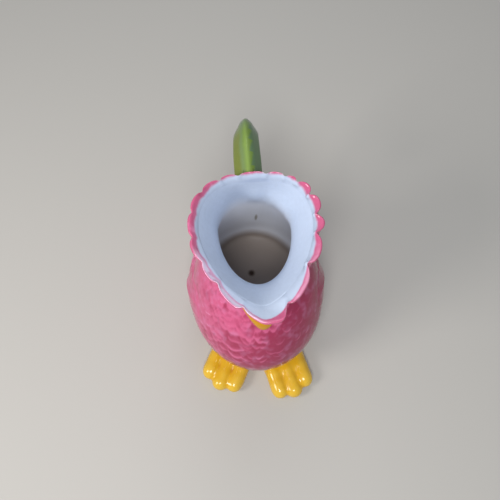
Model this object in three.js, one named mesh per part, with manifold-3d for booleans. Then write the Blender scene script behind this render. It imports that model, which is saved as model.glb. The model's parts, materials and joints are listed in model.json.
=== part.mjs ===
// A parrot jug in glazed earthenware, built as a potter builds it: a cast body, a scalloped lip joined
// along a fine seam, and beak, eyes, wings, feet and a tail-feather handle stuck on before the firing.
// Millimetres, +Z up. The bird looks along -Y. The origin is the middle of the base it stands on.

import * as THREE from "three";
import { mergeVertices } from "three/addons/utils/BufferGeometryUtils.js";
import Module from "manifold-3d";

const wasm = await Module();
wasm.setup();

const { degToRad, radToDeg, euclideanModulo, lerp, smoothstep } = THREE.MathUtils;

// Driving dimensions of the body. At each height the outer wall reaches this far from the origin to
// either side, to the front and to the back, and it is widest on the line y = middle.
const BASE = { z: 0, side: 49, front: 60, back: 58, middle: 0 };
const HIP = { z: 20, side: 61, front: 86, back: 64, middle: -6 };
const BELLY = { z: 60, side: 67.2, front: 103, back: 58, middle: -20 };
const SHOULDER = { z: 112, side: 54, front: 84, back: 47, middle: -15 };
const NECK = { z: 155, side: 35.5, front: 48, back: 40, middle: 6 };
const SEAM = { z: 190, side: 50.5, front: 77, back: 39, middle: -7 };
const WALL = 5;
const FLOOR = 7;
const FLOOR_FILLET = 5;

// The lip above the seam: its outer edge, and where its scallops were cut by hand, in degrees round
// from the front. The scallop from the last notch to the first is the spout.
const LIP_HEIGHT = 10;
const RIM = { z: SEAM.z + LIP_HEIGHT, side: 54.8, front: 89, back: 38.5, middle: -8 };
const NOTCHES = [26, 54.5, 77, 94, 117, 139, 153.5, 171, 188, 205, 228, 255, 278, 296, 312, 335.5];
const SCALLOP_DEPTH = 3;
const SCALLOP_DIP = 1.2;
const SPOUT_NOTCH = 7;
const SPOUT_FALL = 4;
// Beside the spout, at the bird's right, the edge is cut back a little.
const TRIM_ANGLE = 318;
const TRIM_SPAN = 45;
const EDGE_TRIM = 3;
// The edge is thick at the spout and the sides and thin behind, and it falls off towards the inside.
const LIP_EDGE = 5.6;
const NAPE_EDGE = 2.4;
const EDGE_ROUND = 1.3;
const EDGE_FALL = 2.4;
const CREST = 0.42;
const LIP_HOLLOW = 0.42;
const LIP_UNDERSIDE = 0.28;

// The mouth is an egg with its point at the spout, flatter behind than the round belly.
const SPOUT_ROUNDNESS = 1.6;
const NAPE_ROUNDNESS = 2.5;
const BELLY_ROUNDNESS = 2;

// Applied pieces keep this clearance to what they are stuck on.
const SEAT = 0.3;

// The hooked beak under the spout. Both its halves run back into the neck, so that they wrap round it.
const BEAK_ROOT = 24;
const BEAK_Z = 171;
const BEAK_DROP = 33;
const BEAK_WIDTH = 48;
const BEAK_DEPTH = 27;
const BEAK_KNEE = 23.5;
const BEAK_TIP = 15;
const BEAK_POINT = 0.93;
const LOWER_BEAK_Z = 149;
const LOWER_BEAK_REACH = 13;
const LOWER_BEAK_WIDTH = 21;
const LOWER_BEAK_DEPTH = 12;

// Eyes: a domed pupil inside a raised ring.
const EYE_ANGLE = 62;
const EYE_Z = 171;
const EYE_RADIUS = 7;
const EYE_RING = 1.8;
const EYE_GROOVE = 0.9;
const PUPIL_RADIUS = 4;
const PUPIL_DOME = 3;

// Folded wings: a shoulder pad and a fan of flight feathers that lie on the flank.
// Places on the flank are an angle round from the front, in degrees, and a height.
const PAD_FRONT = { angle: 69, z: 98 };
const PAD_BACK = { angle: 108, z: 58 };
const LOWEST_ROOT = { angle: 83, z: 58 };
const LOWEST_TIP = { angle: 152, z: 27 };
const HIGHEST_ROOT = { angle: 87, z: 92 };
const HIGHEST_TIP = { angle: 148, z: 78 };
const FLIGHT_FEATHERS = 5;
const FEATHER_WIDTH = 17;
const FEATHER_THICK = 3.8;
const FEATHER_SINK = 1;
const PAD_WIDTH = 38;
const PAD_THICK = 4.2;
// The outline and the thickness of a feather, as powers: the higher, the blunter its ends.
const OUTLINE_BLUNT = 4;
const THICK_BLUNT = 3;
const ROOT_THICK = 0.55;
const END_WIDTH = 0.14;
const END_THICK = 0.3;

// Feet: three round toes each, set by hand and so not quite alike. The heel stands at an angle round the
// base, in degrees from the front, and the foot is turned out and set ahead of the base's edge.
const LEFT_FOOT = { side: 1, heel: 20.5, turn: 14, ahead: 4 };
const RIGHT_FOOT = { side: -1, heel: 20, turn: 28, ahead: -5 };
const TOE_WIDTH = 18.4;
const TOE_LENGTH = 67.5;
const TOE_PITCH = 14;
const OUTER_TOE_SHORTER = 6.5;
const INNER_TOE_SHORTER = 4;
const TOE_SINK = 0.7;
const HEEL_TAPER = 0.8;
const INSTEP_WIDTH = 50;
const INSTEP_LENGTH = 56;
const INSTEP_HEIGHT = 14.5;

// The handle: a middle feather lapped over two side feathers, bent into a loop. Its route from the neck
// down to the back is given as shares of the way out to HANDLE_OUT and of the way up to HANDLE_TOP_Z.
const HANDLE_TOP_Z = 182;
const HANDLE_LOW_Z = 94;
const HANDLE_OUT = 70.6;
const HANDLE_WIDTH = 23.4;
const HANDLE_KEEL = 12.5;
const HANDLE_INNER = 6;
const HANDLE_ARCH = 1.6;
const MIDDLE_FEATHER = 12.5;
const FEATHER_STEP = 1.2;
const FEATHER_BEVEL = 0.6;
const HANDLE_ROUTE = [
  { out: 0, up: 0.955 }, { out: 0.45, up: 1.02 }, { out: 0.84, up: 0.93 }, { out: 1, up: 0.65 },
  { out: 0.82, up: 0.28 }, { out: 0.42, up: 0.07 }, { out: 0, up: -0.045 },
];

// How finely curved surfaces are faceted.
const AROUND = 64;
const OUTER_RINGS = 20;
const INNER_RINGS = 14;
const FILLET_RINGS = 3;
const LIP_STEP = 2.7;
const BEAK_AROUND = 16;
const BEAK_RINGS = 9;
const EYE_AROUND = 16;
const DOME_RINGS = 3;
const FEATHER_AROUND = 8;
const FEATHER_RINGS = 9;
const TOE_AROUND = 12;
const TOE_RINGS = 4;
const INSTEP_AROUND = 18;
const INSTEP_RINGS = 10;
const HANDLE_RINGS = 32;
const HANDLE_INSIDE = 4;

const ACROSS = new THREE.Vector3(1, 0, 0);

// Meshes and solids

// A closed geometry through rings of points: a tube capped by a fan at either end, or, when looped,
// a ring of sections whose last section meets the first.
function skin(rings, looped = false) {
  const count = rings[0].length;
  const points = rings.flat();
  const triangles = [];
  const spans = looped ? rings.length : rings.length - 1;
  for (let ring = 0; ring < spans; ring++) {
    const here = ring * count;
    const next = ((ring + 1) % rings.length) * count;
    for (let i = 0; i < count; i++) {
      const j = (i + 1) % count;
      triangles.push(here + i, here + j, next + j, here + i, next + j, next + i);
    }
  }
  if (!looped) {
    const first = points.push(average(rings[0])) - 1;
    const last = points.push(average(rings[rings.length - 1])) - 1;
    const top = (rings.length - 1) * count;
    for (let i = 0; i < count; i++) {
      const j = (i + 1) % count;
      triangles.push(first, j, i, last, top + i, top + j);
    }
  }
  return outward(points, triangles);
}

function average(points) {
  return points.reduce((sum, p) => sum.add(p), new THREE.Vector3()).divideScalar(points.length);
}

// An indexed geometry whose faces point out, whichever way the rings were wound.
function outward(points, triangles) {
  let volume = 0;
  const edge = new THREE.Vector3();
  for (let i = 0; i < triangles.length; i += 3) {
    const [a, b, c] = [0, 1, 2].map((k) => points[triangles[i + k]]);
    volume += a.dot(edge.crossVectors(b, c));
  }
  if (volume < 0) triangles.reverse();
  const geometry = new THREE.BufferGeometry().setFromPoints(points);
  return geometry.setIndex(triangles);
}

function solid(geometry) {
  const bare = geometry.clone();
  bare.deleteAttribute("normal");
  bare.deleteAttribute("uv");
  const merged = mergeVertices(bare, 1e-4);
  return new wasm.Manifold(new wasm.Mesh({
    numProp: 3,
    vertProperties: new Float32Array(merged.attributes.position.array),
    triVerts: new Uint32Array(merged.index.array),
  }));
}

function geometryOf(manifold) {
  const { vertProperties, triVerts } = manifold.getMesh();
  const geometry = new THREE.BufferGeometry();
  geometry.setAttribute("position", new THREE.BufferAttribute(vertProperties, 3));
  return geometry.setIndex(new THREE.BufferAttribute(triVerts, 1));
}

// The body's outer wall as a smooth surface over angle and height. Angle 0 is the front, and angles
// grow towards +X, the bird's left.

const STATIONS = [BASE, HIP, BELLY, SHOULDER, NECK, SEAM];
const wallCurve = new THREE.CubicInterpolant(
  STATIONS.map((s) => s.z),
  STATIONS.flatMap((s) => [s.side, s.front, s.back, s.middle]),
  4,
);

function wallReach(z) {
  const [side, front, back, middle] = wallCurve.evaluate(z);
  return { side, front, back, middle };
}

// A point of an egg-shaped ring. mouth runs from 0 on the round belly to 1 at the pointed mouth.
function eggPoint(angle, reach, z, mouth, grow = 0) {
  const ahead = Math.cos(angle);
  const aside = Math.sin(angle);
  const depth = ahead > 0 ? reach.front + reach.middle : reach.back - reach.middle;
  const roundness = lerp(BELLY_ROUNDNESS, ahead > 0 ? SPOUT_ROUNDNESS : NAPE_ROUNDNESS, mouth);
  const bend = (value) => Math.sign(value) * Math.abs(value) ** (2 / roundness);
  const x = (reach.side + grow) * bend(aside);
  const y = reach.middle - (depth + grow) * bend(ahead);
  return new THREE.Vector3(x, y, z);
}

function wallPoint(angle, z, grow = 0) {
  return eggPoint(angle, wallReach(z), z, smoothstep(z, NECK.z, SEAM.z), grow);
}

function wallNormal(angle, z) {
  const step = 0.01;
  const along = wallPoint(angle + step, z).sub(wallPoint(angle - step, z));
  const upward = wallPoint(angle, z + step).sub(wallPoint(angle, z - step));
  return along.cross(upward).normalize();
}

function angles(count) {
  return Array.from({ length: count }, (_, i) => (2 * Math.PI * i) / count);
}

function wallRing(z, grow) {
  return angles(AROUND).map((angle) => wallPoint(angle, z, grow));
}

function heights(from, to, count) {
  return Array.from({ length: count + 1 }, (_, i) => lerp(from, to, i / count));
}

// Body: up the outside, over the seam, down the inside and across the floor

function insideGrow(z) {
  const above = Math.min(z - FLOOR, FLOOR_FILLET);
  const drop = FLOOR_FILLET - above;
  return -WALL - FLOOR_FILLET + Math.sqrt(FLOOR_FILLET ** 2 - drop ** 2);
}

function bodyShell() {
  const outside = heights(BASE.z, SEAM.z, OUTER_RINGS).map((z) => wallRing(z, 0));
  const filletTop = FLOOR + FLOOR_FILLET;
  const inside = heights(SEAM.z, filletTop, INNER_RINGS).map((z) => wallRing(z, insideGrow(z)));
  const fillet = heights(filletTop, FLOOR, FILLET_RINGS).slice(1).map((z) => wallRing(z, insideGrow(z)));
  return skin([...outside, ...inside, ...fillet]);
}

// Everything inside the outer wall, grown by the seating clearance: what applied pieces are cut by.
function bodyEnvelope() {
  const rings = heights(BASE.z, SEAM.z, OUTER_RINGS).map((z) => wallRing(z, SEAT));
  const below = rings[0].map((p) => p.clone().setZ(BASE.z - WALL));
  const above = rings[OUTER_RINGS].map((p) => p.clone().setZ(SEAM.z + 2 * SEAT));
  return solid(skin([below, ...rings, above]));
}

// Lip: a flared ring with a scalloped edge

const scallops = NOTCHES.map((from, i) => ({ from, to: NOTCHES[i + 1] ?? NOTCHES[0] + 360 }));

// How far the edge is drawn in at an angle, from 0 at the middle of a scallop to 1 at a notch.
function notchAt(angle) {
  const round = NOTCHES[0] + euclideanModulo(radToDeg(angle) - NOTCHES[0], 360);
  const { from, to } = scallops.find((scallop) => round <= scallop.to);
  const across = (2 * round - from - to) / (to - from);
  return 1 - Math.sqrt(1 - Math.min(across ** 2, 1));
}

function trimAt(angle) {
  const halfTurn = 180;
  const away = euclideanModulo(radToDeg(angle) - TRIM_ANGLE + halfTurn, 2 * halfTurn) - halfTurn;
  return EDGE_TRIM * (1 - smoothstep(Math.abs(away), 0, TRIM_SPAN));
}

// The section runs from the inner edge of the seam up the white inside, then from the crest of the edge
// down the outside. A notch is cut into the outer edge, and the inner edge draws in only as far as a deep
// notch needs.
function lipSection(angle, grow = 0) {
  const foot = SEAM.z + SEAT;
  const notch = notchAt(angle);
  const ahead = ((1 + Math.cos(angle)) / 2) ** SPOUT_FALL;
  const top = RIM.z - SCALLOP_DIP * notch + grow;
  const cut = lerp(SCALLOP_DEPTH, SPOUT_NOTCH, ahead) * notch + trimAt(angle);
  const behind = smoothstep(-Math.cos(angle), 0, 1);
  const drawn = Math.hypot(lerp(LIP_EDGE, NAPE_EDGE, behind), cut);
  const rim = (inset, z) => eggPoint(angle, RIM, z, 1, grow - inset);
  const seam = (inset) => eggPoint(angle, SEAM, foot, 1, grow - inset);
  const rise = top - foot;
  const inner = rim(drawn, top - EDGE_FALL);
  const under = rim(cut + EDGE_ROUND / 2, top - 3 * EDGE_ROUND);
  const inside = [
    seam(WALL),
    seam(WALL).lerp(inner, 0.5).setZ(foot + LIP_HOLLOW * rise),
    inner,
  ];
  const outside = [
    rim(lerp(cut, drawn, CREST), top),
    rim(cut + EDGE_ROUND / 4, top - EDGE_ROUND),
    under,
    seam(0).lerp(under, 0.5).setZ(foot + LIP_UNDERSIDE * rise),
    seam(0),
  ];
  return { inside, outside };
}

// Each scallop in equal steps from notch to notch.
function lipAngles() {
  return scallops.flatMap(({ from, to }) => {
    const steps = Math.ceil((to - from) / LIP_STEP);
    return heights(degToRad(from), degToRad(to), steps).slice(0, steps);
  });
}

function scallopedLip() {
  const sections = lipAngles().map((angle) => lipSection(angle));
  return skin(sections.map(({ inside, outside }) => [...inside, ...outside]), true);
}

// The outside of the lip, from the seam up to the crest of the edge, filled in and grown by the clearance.
function lipEnvelope() {
  const outsides = lipAngles().map((angle) => lipSection(angle, SEAT).outside.reverse());
  return solid(skin(outsides[0].map((_, k) => outsides.map((points) => points[k]))));
}

const bodyCut = bodyEnvelope();
const lipCut = lipEnvelope();

// Beak: a straight root, then tapering oval sections along a hooked spine

function hook(root, knee, tip, width, depth, grow = 0) {
  const spine = new THREE.QuadraticBezierCurve3(root, knee, tip);
  const rings = heights(0, 1, BEAK_RINGS).map((t) => {
    const centre = spine.getPoint(t);
    const over = new THREE.Vector3().crossVectors(ACROSS, spine.getTangent(t));
    const wide = grow + 0.5 * width * (1 - BEAK_POINT * t);
    const deep = grow + 0.5 * depth * Math.sqrt(1 - BEAK_POINT * t ** 2);
    return angles(BEAK_AROUND).map((a) => centre.clone()
      .addScaledVector(ACROSS, wide * Math.sin(a))
      .addScaledVector(over, deep * Math.cos(a)));
  });
  const inward = spine.getTangent(0).multiplyScalar(-BEAK_ROOT);
  return skin([rings[0].map((p) => p.clone().add(inward)), ...rings]);
}

function beakSpot(z, reach) {
  return new THREE.Vector3(0, -wallReach(z).front - reach, z);
}

function upperBeakForm(grow) {
  const root = beakSpot(BEAK_Z, -WALL);
  const knee = beakSpot(BEAK_Z, BEAK_KNEE);
  const tip = beakSpot(BEAK_Z, BEAK_TIP).setZ(BEAK_Z - BEAK_DROP);
  return hook(root, knee, tip, BEAK_WIDTH, BEAK_DEPTH, grow);
}

function upperBeak() {
  return geometryOf(solid(upperBeakForm(0)).subtract(bodyCut).subtract(lipCut));
}

function lowerBeak() {
  const root = beakSpot(LOWER_BEAK_Z, -WALL);
  const knee = beakSpot(LOWER_BEAK_Z, LOWER_BEAK_REACH);
  const tip = knee.clone().setZ(LOWER_BEAK_Z + LOWER_BEAK_DEPTH / 2);
  const form = hook(root, knee, tip, LOWER_BEAK_WIDTH, LOWER_BEAK_DEPTH);
  return geometryOf(solid(form).subtract(bodyCut).subtract(solid(upperBeakForm(SEAT))));
}

// Eye: a revolved pupil and ring, set square on the head

function eye(side) {
  const dome = heights(0, Math.PI / 2, DOME_RINGS).slice(1);
  const profile = [
    [0, -PUPIL_DOME], [EYE_RADIUS, -PUPIL_DOME], [EYE_RADIUS, EYE_GROOVE],
    [lerp(EYE_RADIUS, PUPIL_RADIUS, 0.25), EYE_RING], [lerp(EYE_RADIUS, PUPIL_RADIUS, 0.6), EYE_RING],
    [PUPIL_RADIUS, EYE_GROOVE],
    ...dome.map((a) => [PUPIL_RADIUS * Math.cos(a), lerp(EYE_GROOVE, PUPIL_DOME, Math.sin(a))]),
  ].map(([r, h]) => new THREE.Vector2(r, h));
  const angle = side * degToRad(EYE_ANGLE);
  const lathed = new THREE.Vector3(0, 1, 0);
  const facing = new THREE.Quaternion().setFromUnitVectors(lathed, wallNormal(angle, EYE_Z));
  const spot = wallPoint(angle, EYE_Z);
  const form = new THREE.LatheGeometry(profile, EYE_AROUND)
    .applyQuaternion(facing)
    .translate(spot.x, spot.y, spot.z);
  return geometryOf(solid(form).subtract(bodyCut));
}

// Wing: leaf-shaped feathers that follow the flank, the pad lapped over the flight feathers

function feather(side, from, to, width, thick) {
  const perDegree = degToRad(BELLY.side);
  const slope = new THREE.Vector2((to.angle - from.angle) * perDegree, to.z - from.z).normalize();
  const rings = heights(0, 1, FEATHER_RINGS).map((t) => {
    const along = Math.abs(2 * t - 1);
    const half = 0.5 * width * Math.max(Math.sqrt(1 - along ** OUTLINE_BLUNT), END_WIDTH);
    const full = Math.max(Math.sqrt(1 - along ** THICK_BLUNT), END_THICK);
    const rise = thick * lerp(ROOT_THICK, 1, t) * full;
    return angles(FEATHER_AROUND).map((a) => {
      const across = half * Math.cos(a);
      const angle = lerp(from.angle, to.angle, t) - (across * slope.y) / perDegree;
      const z = lerp(from.z, to.z, t) + across * slope.x;
      const turned = side * degToRad(angle);
      const lift = Math.sin(a) > 0 ? rise * Math.sin(a) ** 2 : -FEATHER_SINK;
      return wallPoint(turned, z).addScaledVector(wallNormal(turned, z), lift);
    });
  });
  return solid(skin(rings));
}

function between(low, high, share) {
  return { angle: lerp(low.angle, high.angle, share), z: lerp(low.z, high.z, share) };
}

function wing(side) {
  let form = feather(side, PAD_FRONT, PAD_BACK, PAD_WIDTH, PAD_THICK);
  for (let i = 0; i < FLIGHT_FEATHERS; i++) {
    const share = i / (FLIGHT_FEATHERS - 1);
    const root = between(LOWEST_ROOT, HIGHEST_ROOT, share);
    const tip = between(LOWEST_TIP, HIGHEST_TIP, share);
    form = form.add(feather(side, root, tip, FEATHER_WIDTH, FEATHER_THICK));
  }
  return geometryOf(form.subtract(bodyCut));
}

// Foot: three round toes that run back under the breast, flat below

function toe(x, shorter) {
  const radius = TOE_WIDTH / 2;
  const length = TOE_LENGTH - shorter;
  const cap = heights(0, Math.PI / 2, TOE_RINGS);
  const heel = cap.map((a) => [HEEL_TAPER * radius * Math.sin(a), radius * (1 - Math.cos(a))]);
  const tip = cap.map((a) => [radius * Math.cos(a), length - radius * (1 - Math.sin(a))]);
  const profile = [...heel, ...tip].map(([r, along]) => new THREE.Vector2(r, along));
  const form = new THREE.LatheGeometry(profile, TOE_AROUND);
  return solid(form.rotateX(Math.PI).translate(x, 0, radius * TOE_SINK));
}

function foot({ side, heel, turn, ahead }) {
  const wide = 4 * TOE_LENGTH;
  const ground = new THREE.BoxGeometry(wide, wide, TOE_WIDTH).translate(0, 0, -TOE_WIDTH / 2);
  const instep = new THREE.SphereGeometry(1, INSTEP_AROUND, INSTEP_RINGS)
    .scale(INSTEP_WIDTH / 2, INSTEP_LENGTH / 2, INSTEP_HEIGHT)
    .translate(0, -INSTEP_LENGTH / 2, 0);
  const form = solid(instep)
    .add(toe(0, 0))
    .add(toe(side * TOE_PITCH, OUTER_TOE_SHORTER))
    .add(toe(-side * TOE_PITCH, INNER_TOE_SHORTER))
    .subtract(solid(ground));
  const spot = eggPoint(side * degToRad(heel), BASE, BASE.z, 0);
  const placed = geometryOf(form)
    .rotateZ(side * degToRad(turn))
    .translate(spot.x, spot.y - ahead, BASE.z);
  return geometryOf(solid(placed).subtract(bodyCut));
}

// Handle: the three-feather section swept round the loop

// The outer side is an arch with its keel in the middle, and the middle feather stands proud of it.
function handleSection() {
  const half = HANDLE_WIDTH / 2;
  const lap = MIDDLE_FEATHER / 2;
  const arch = (x) => (HANDLE_KEEL - FEATHER_STEP) * (1 - Math.abs(x / half) ** HANDLE_ARCH);
  const outer = heights(-half, -lap, 2).map((x) => [x, arch(x)]);
  const middle = heights(-lap + FEATHER_BEVEL, 0, 2).map((x) => [x, arch(x) + FEATHER_STEP]);
  const otherSide = [...outer, ...middle].reverse().slice(1).map(([x, rise]) => [-x, rise]);
  const inner = heights(0, Math.PI, HANDLE_INSIDE).slice(1, -1);
  const hollow = inner.map((a) => [half * Math.cos(a), -HANDLE_INNER * Math.sin(a)]);
  return [...outer, ...middle, ...otherSide, ...hollow];
}

function tailHandle() {
  const top = NECK.back - WALL;
  const low = wallReach(HANDLE_LOW_Z).back - WALL;
  const far = NECK.back + HANDLE_OUT - HANDLE_KEEL;
  const route = new THREE.CatmullRomCurve3(HANDLE_ROUTE.map(({ out, up }) => new THREE.Vector3(
    0,
    lerp(lerp(low, top, up), far, out),
    lerp(HANDLE_LOW_Z, HANDLE_TOP_Z, up),
  )), false, "centripetal");
  const section = handleSection();
  const rings = heights(0, 1, HANDLE_RINGS).map((t) => {
    const centre = route.getPointAt(t);
    const out = new THREE.Vector3().crossVectors(ACROSS, route.getTangentAt(t));
    return section.map(([x, rise]) => (
      centre.clone().addScaledVector(ACROSS, x).addScaledVector(out, rise)
    ));
  });
  return geometryOf(solid(skin(rings)).subtract(bodyCut).subtract(lipCut));
}

// The jug

const jug = new THREE.Group();

function add(name, geometry, color, roughness) {
  const mesh = new THREE.Mesh(geometry, new THREE.MeshStandardMaterial({ color, roughness, metalness: 0 }));
  mesh.name = name;
  jug.add(mesh);
}

const PINK = 0xc86488;
const YELLOW = 0xdba63b;
const GREEN = 0x88a152;
const BLACK = 0x1c1718;
const GLAZE = 0.18;

add("body_shell", bodyShell(), PINK, GLAZE);
add("scalloped_lip", scallopedLip(), PINK, GLAZE);
add("upper_beak", upperBeak(), YELLOW, GLAZE);
add("lower_beak", lowerBeak(), YELLOW, GLAZE);
for (const [hand, side, placing] of [["left", 1, LEFT_FOOT], ["right", -1, RIGHT_FOOT]]) {
  add(`${hand}_eye`, eye(side), BLACK, GLAZE);
  add(`${hand}_wing`, wing(side), PINK, GLAZE);
  add(`${hand}_foot`, foot(placing), YELLOW, GLAZE);
}
add("tail_handle", tailHandle(), GREEN, GLAZE);

export default jug;
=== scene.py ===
# %% [markdown]
# # A parrot jug in glazed earthenware
# The jug is cast in a mould, its lip, beak, wings, feet and handle are stuck on with slip, and the
# whole bird is painted and glazed before it is fired. The solids of every piece come from the CAD
# frame. This lesson copies them, rounds them as a glaze does, presses the feathers in and paints
# them.

# %% Load the frame
import json
import math

import bpy
import numpy as np
from mathutils.bvhtree import BVHTree
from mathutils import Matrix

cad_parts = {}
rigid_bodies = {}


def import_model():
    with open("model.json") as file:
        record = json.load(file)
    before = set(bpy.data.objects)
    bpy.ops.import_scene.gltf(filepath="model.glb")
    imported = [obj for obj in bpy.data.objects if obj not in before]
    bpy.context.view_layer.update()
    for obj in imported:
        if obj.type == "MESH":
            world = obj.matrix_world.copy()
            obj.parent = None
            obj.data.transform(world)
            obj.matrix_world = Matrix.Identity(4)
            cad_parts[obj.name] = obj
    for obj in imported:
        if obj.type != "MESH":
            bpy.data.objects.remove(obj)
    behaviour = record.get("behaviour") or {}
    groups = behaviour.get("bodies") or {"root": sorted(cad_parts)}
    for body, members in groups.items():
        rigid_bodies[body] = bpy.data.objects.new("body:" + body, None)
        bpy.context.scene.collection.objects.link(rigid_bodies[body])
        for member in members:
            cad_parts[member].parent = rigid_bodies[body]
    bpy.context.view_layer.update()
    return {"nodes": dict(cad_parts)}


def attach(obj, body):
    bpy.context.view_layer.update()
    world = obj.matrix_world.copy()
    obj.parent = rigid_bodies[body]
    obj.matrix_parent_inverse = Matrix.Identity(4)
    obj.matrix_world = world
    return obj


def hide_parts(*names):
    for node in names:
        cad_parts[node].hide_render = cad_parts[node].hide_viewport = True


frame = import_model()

MM = 0.001

# %% [markdown]
# ## Hand tools
# A CAD node arrives as loose triangles. Before a copy of it can be smoothed, its corners are merged
# and its triangles are paired into quads. The frame's own nodes stay untouched. Each operator acts on
# what is selected, so one helper selects a single object, and the others start with it. Shapes are
# worked in mm, while shader nodes, lamps and Blender's own coordinates count in metres.

# %% Helpers for copying and shaping
MERGED_WITHIN = 0.01 * MM
QUAD_BEND, QUAD_SKEW = math.radians(50), math.radians(60)
SHARP_EDGE = math.radians(50)


def select_only(obj):
    bpy.ops.object.select_all(action="DESELECT")
    obj.select_set(True)
    bpy.context.view_layer.objects.active = obj


def finish_modifier(obj, kind, **settings):
    select_only(obj)
    modifier = obj.modifiers.new(kind.lower(), kind)
    for name, value in settings.items():
        setattr(modifier, name, value)
    bpy.ops.object.modifier_apply(modifier=modifier.name)


def copy_of(node, name):
    obj = bpy.data.objects.new(name, frame["nodes"][node].data.copy())
    bpy.context.scene.collection.objects.link(obj)
    obj.data.materials.clear()
    select_only(obj)
    bpy.ops.mesh.customdata_custom_splitnormals_clear()
    bpy.ops.object.mode_set(mode="EDIT")
    bpy.ops.mesh.select_all(action="SELECT")
    bpy.ops.mesh.remove_doubles(threshold=MERGED_WITHIN)
    bpy.ops.mesh.tris_convert_to_quads(face_threshold=QUAD_BEND, shape_threshold=QUAD_SKEW)
    bpy.ops.object.mode_set(mode="OBJECT")
    return obj


def values_of(collection, name, width, kind=float):
    values = np.empty(len(collection) * width, dtype=kind)
    collection.foreach_get(name, values)
    return values.reshape(-1, width)


def points_of(obj):
    return values_of(obj.data.vertices, "co", 3) / MM


def normals_of(obj):
    return values_of(obj.data.vertices, "normal", 3)


def edges_of(obj):
    return values_of(obj.data.edges, "vertices", 2, int)


def move_points(obj, places):
    obj.data.vertices.foreach_set("co", (places * MM).ravel())
    obj.data.update()


def keep(obj, name, values):
    attribute = obj.data.attributes.new(name, "FLOAT", "POINT")
    attribute.data.foreach_set("value", np.asarray(values, dtype=np.float32))


def smooth_faces(obj):
    select_only(obj)
    bpy.ops.object.shade_smooth_by_angle(angle=SHARP_EDGE)


def smoothstep(low, high, value):
    t = np.clip((value - low) / (high - low), 0, 1)
    return t * t * (3 - 2 * t)


def zone(places, x, y):
    """1 inside a zone and 0 outside it. Each pair says where it starts and where it is full, in mm."""
    return smoothstep(*x, places[:, 0]) * smoothstep(*y, places[:, 1])


# %% [markdown]
# Glaze pools in hollows and runs off ridges, so each piece needs to know where those are. Averaging a
# point with its neighbours many times gives the surface without its detail. How far the real point
# stands above that is its height, and it is negative in a groove. Blender's own Pointiness does much
# the same, but an attribute can be looked at, scaled and used for several things. A slow wave through
# space, summed from a few random ones, keeps rows of feathers from being too regular.

# %% Height above the surroundings
EVEN_GLAZE = 0.5
WAVES, WAVE_SPREAD, WAVE_PHASES, WAVE_SUM = 5, 1.7, 6.28, 2.6


def averaged(obj, values, rounds):
    ends = edges_of(obj)
    here = np.concatenate([ends[:, 0], ends[:, 1]])
    there = np.concatenate([ends[:, 1], ends[:, 0]])
    neighbours = np.bincount(here, minlength=len(values))
    even = values.copy()
    for _ in range(rounds):
        for column in range(values.shape[1]):
            even[:, column] = np.bincount(here, even[there, column], len(values)) / neighbours
    return even


def standing_out(obj, rounds):
    places = points_of(obj)
    return ((places - averaged(obj, places, rounds)) * normals_of(obj)).sum(axis=1)


def glaze_height(obj, rounds, middle, strength, low, high):
    """What stands out, turned into a height for the glaze, where 0.5 is an even coat."""
    return middle + strength * np.clip(standing_out(obj, rounds), low, high)


def sway(places, length, seed):
    """A slow wave through space between -1 and 1, with about this many mm from crest to crest."""
    chance = np.random.default_rng(seed)
    turns = chance.normal(size=(3, WAVES)) * (2 * math.pi / length / WAVE_SPREAD)
    return np.sin(places @ turns + chance.uniform(0, WAVE_PHASES, WAVES)).sum(axis=1) / WAVE_SUM


# %% [markdown]
# ## Finish: painted glaze
# Coloured glaze runs thin on raised edges, where the white clay shows through, and pools darker in
# the hollows. One node group does that for every colour on the jug: it takes a height over the
# surface and three colours, and mottles them a little. A second group makes the faint ripple that
# every fired glaze has. Both are built once and placed in each material with that material's own
# values.

# %% Glaze node groups
CLOUD_SCALE, CLOUD_SHARE = 55.0, 0.5
SPECK_SCALE, SPECK_SHARE = 300.0, 0.12
POOLED_TO_FULL, FULL_TO_THIN = (0.05, 0.5), (0.62, 1.05)
ROUGH_LEAST, ROUGH_SPREAD = 0.07, 0.14
RIPPLE_BROAD, RIPPLE_FINE, RIPPLE_FINE_SHARE, RIPPLE_DETAIL = 90.0, 380.0, 0.25, 2.0


def srgb(red, green, blue):
    def linear(value):
        value /= 255
        return value / 12.92 if value <= 0.04045 else ((value + 0.055) / 1.055) ** 2.4
    return (linear(red), linear(green), linear(blue), 1.0)


def add_socket(group, name, kind, way, value=None):
    socket = group.interface.new_socket(name=name, in_out=way, socket_type=kind)
    if value is not None:
        socket.default_value = value


def object_place(tree):
    return tree.nodes.new("ShaderNodeTexCoord").outputs["Object"]


def math_node(tree, operation, *values):
    node = tree.nodes.new("ShaderNodeMath")
    node.operation = operation
    for socket, value in zip(node.inputs, values):
        if isinstance(value, (int, float)):
            socket.default_value = value
        else:
            tree.links.new(value, socket)
    return node.outputs[0]


def ramp_between(tree, value, low, high):
    node = tree.nodes.new("ShaderNodeMapRange")
    node.interpolation_type = "SMOOTHSTEP"
    tree.links.new(value, node.inputs["Value"])
    node.inputs["From Min"].default_value = low
    node.inputs["From Max"].default_value = high
    return node.outputs["Result"]


def mix_colours(tree, share, first, second, blend="MIX"):
    node = tree.nodes.new("ShaderNodeMix")
    node.data_type = "RGBA"
    node.blend_type = blend
    for socket, value in ((node.inputs[0], share), (node.inputs[6], first), (node.inputs[7], second)):
        if isinstance(value, (int, float, tuple)):
            socket.default_value = value
        else:
            tree.links.new(value, socket)
    return node.outputs[2]


def noise_on(tree, place, scale, detail=3.0):
    node = tree.nodes.new("ShaderNodeTexNoise")
    node.inputs["Scale"].default_value = scale
    node.inputs["Detail"].default_value = detail
    tree.links.new(place, node.inputs["Vector"])
    return node.outputs["Fac"]


def noise_about(tree, place, middle, spread, scale, detail=3.0):
    noise = noise_on(tree, place, scale, detail)
    return math_node(tree, "MULTIPLY_ADD", noise, spread, middle - spread / 2)


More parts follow.
